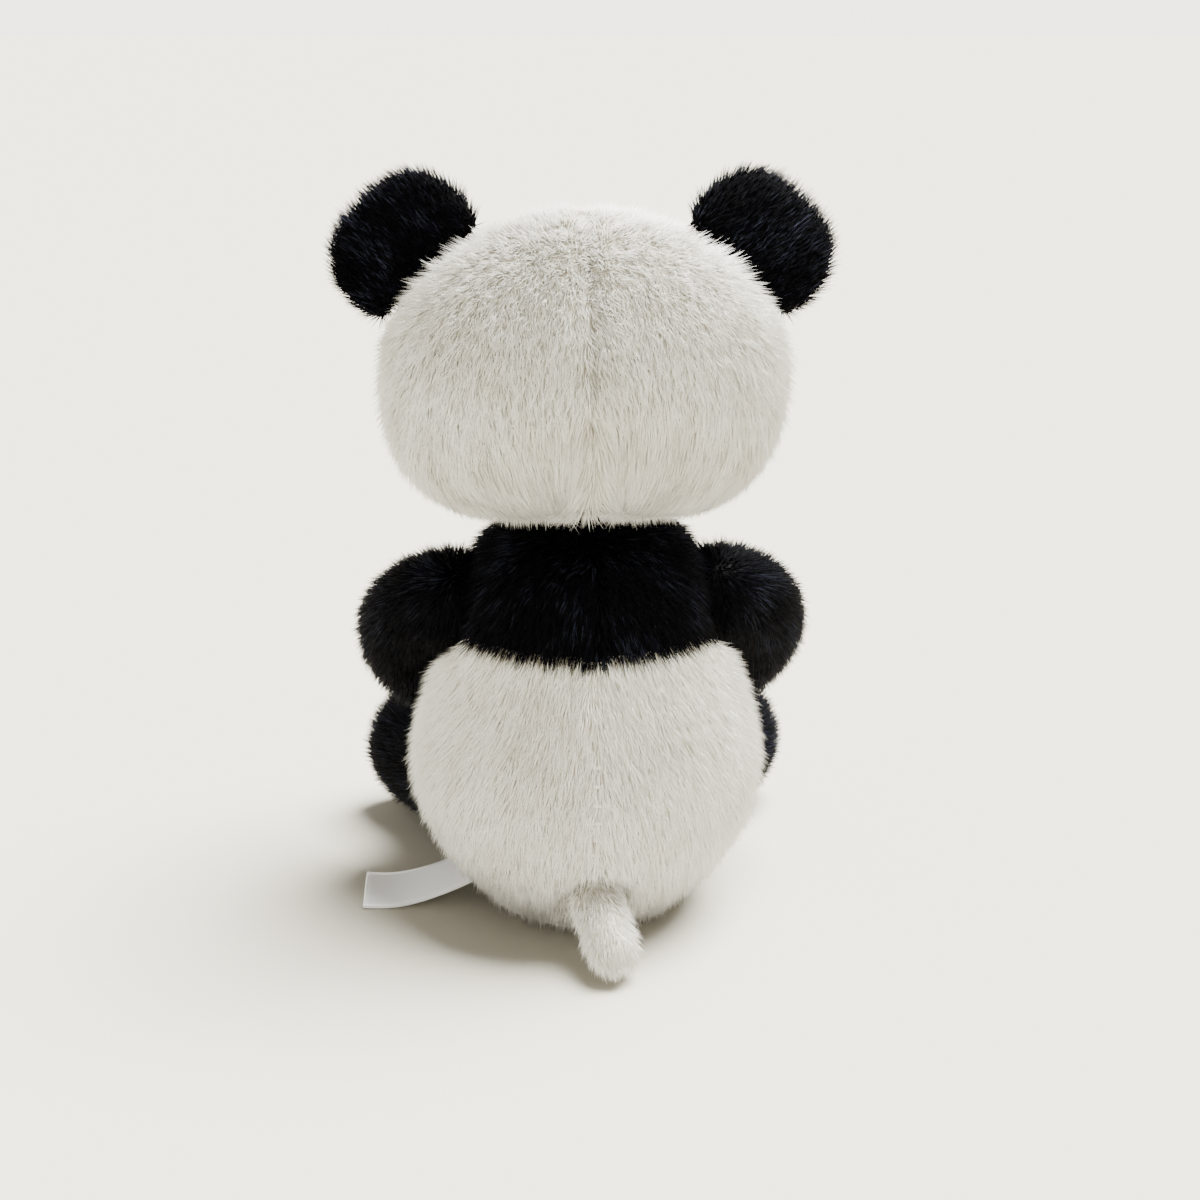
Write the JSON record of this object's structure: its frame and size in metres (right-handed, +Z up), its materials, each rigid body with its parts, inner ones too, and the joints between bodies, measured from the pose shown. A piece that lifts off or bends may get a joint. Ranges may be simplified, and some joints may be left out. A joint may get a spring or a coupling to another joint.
{
  "type": "plush panda",
  "caption": "Sitting plush panda with a white head and body, and black ears, shoulder band, arms and legs that flex on their sewn seams.",
  "frame": {"origin": "middle of the flat seat, on the surface that the toy sits on", "axes": "+Z up, the toy faces -Y, +X is the toy's own left side"},
  "size_m": [0.165, 0.1735, 0.2535],
  "materials": {
    "white_plush": "ivory short pile plush, combed in places",
    "black_plush": "black short pile plush",
    "stuffing": "polyester fibre filling",
    "pouch_cloth": "plain woven lining",
    "pellets": "small plastic pellets",
    "black_eye": "polished black",
    "washer_plastic": "natural moulded plastic",
    "thread": "black sewing thread",
    "white_thread": "white sewing thread",
    "label_satin": "white satin ribbon"
  },
  "bodies": {
    "torso": {"yoke_front": "black_plush", "yoke_back_left": "black_plush", "yoke_back_right": "black_plush", "belly_front": "white_plush", "body_back_left": "white_plush", "body_back_right": "white_plush", "base_panel": "white_plush", "body_stuffing": "stuffing", "pellet_pouch": "pouch_cloth", "pellets": "pellets", "closing_stitches": "white_thread"},
    "neck": {"neck_stitches": "thread"},
    "head": {"head_back_left": "white_plush", "head_back_right": "white_plush", "face_left": "white_plush", "face_right": "white_plush", "muzzle_panel": "white_plush", "muzzle_stuffing": "stuffing", "head_stuffing": "stuffing", "eye_patch_left": "black_plush", "eye_patch_right": "black_plush", "eye_left": "black_eye", "eye_right": "black_eye", "eye_washer_left": "washer_plastic", "eye_washer_right": "washer_plastic", "nose": "black_eye", "nose_washer": "washer_plastic", "mouth_stitches": "thread"},
    "ear_left": {"ear_left_front": "black_plush", "ear_left_back": "black_plush"},
    "ear_right": {"ear_right_front": "black_plush", "ear_right_back": "black_plush"},
    "arm_left": {"arm_left_upper": "black_plush", "arm_left_under": "black_plush", "arm_left_stuffing": "stuffing"},
    "arm_right": {"arm_right_upper": "black_plush", "arm_right_under": "black_plush", "arm_right_stuffing": "stuffing"},
    "leg_left": {"leg_left_top": "black_plush", "leg_left_under": "black_plush", "foot_left_sole": "black_plush", "leg_left_stuffing": "stuffing"},
    "leg_right": {"leg_right_top": "black_plush", "leg_right_under": "black_plush", "foot_right_sole": "black_plush", "leg_right_stuffing": "stuffing"},
    "tail": {"tail_upper": "white_plush", "tail_under": "white_plush", "tail_stuffing": "stuffing"},
    "label": {"side_label": "label_satin"}
  },
  "joints": [
    {"name": "head_turn", "type": "hinge", "parent": "torso", "child": "neck", "pos_m": [0, 0, 0.097], "axis": [0, 0, 1], "range_deg": [-25, 25], "stiffness_Nm_per_rad": 0.25},
    {"name": "head_nod", "type": "hinge", "parent": "neck", "child": "head", "pos_m": [0, 0, 0.097], "axis": [-1, 0, 0], "range_deg": [-12, 12], "stiffness_Nm_per_rad": 0.9},
    {"name": "ear_left_fold", "type": "hinge", "parent": "head", "child": "ear_left", "pos_m": [0.05132, -0.006, 0.22207], "axis": [0.7276, 0, -0.686], "range_deg": [-25, 25], "stiffness_Nm_per_rad": 0.02},
    {"name": "ear_right_fold", "type": "hinge", "parent": "head", "child": "ear_right", "pos_m": [-0.05132, -0.006, 0.22207], "axis": [0.7276, 0, 0.686], "range_deg": [-25, 25], "stiffness_Nm_per_rad": 0.02},
    {"name": "arm_left_swing", "type": "hinge", "parent": "torso", "child": "arm_left", "pos_m": [0.0452, 0, 0.1125], "axis": [0, -0.7355, 0.6775], "range_deg": [0, 50], "stiffness_Nm_per_rad": 0.06},
    {"name": "arm_right_swing", "type": "hinge", "parent": "torso", "child": "arm_right", "pos_m": [-0.0452, 0, 0.1125], "axis": [0, 0.7355, -0.6775], "range_deg": [0, 50], "stiffness_Nm_per_rad": 0.06},
    {"name": "leg_left_lift", "type": "hinge", "parent": "torso", "child": "leg_left", "pos_m": [0.03123, -0.03123, 0.025], "axis": [-0.8949, -0.4462, 0], "range_deg": [0, 20], "stiffness_Nm_per_rad": 0.08},
    {"name": "leg_right_lift", "type": "hinge", "parent": "torso", "child": "leg_right", "pos_m": [-0.03123, -0.03123, 0.025], "axis": [-0.8949, 0.4462, 0], "range_deg": [0, 20], "stiffness_Nm_per_rad": 0.08},
    {"name": "tail_wag", "type": "hinge", "parent": "torso", "child": "tail", "pos_m": [0, 0.04525, 0.022], "axis": [0, 0, 1], "range_deg": [-20, 20], "stiffness_Nm_per_rad": 0.01},
    {"name": "label_flap", "type": "hinge", "parent": "torso", "child": "label", "pos_m": [0.04071, -0.003, 0.011], "axis": [0, -1, 0], "range_deg": [0, 40], "stiffness_Nm_per_rad": 0.0006}
  ]
}
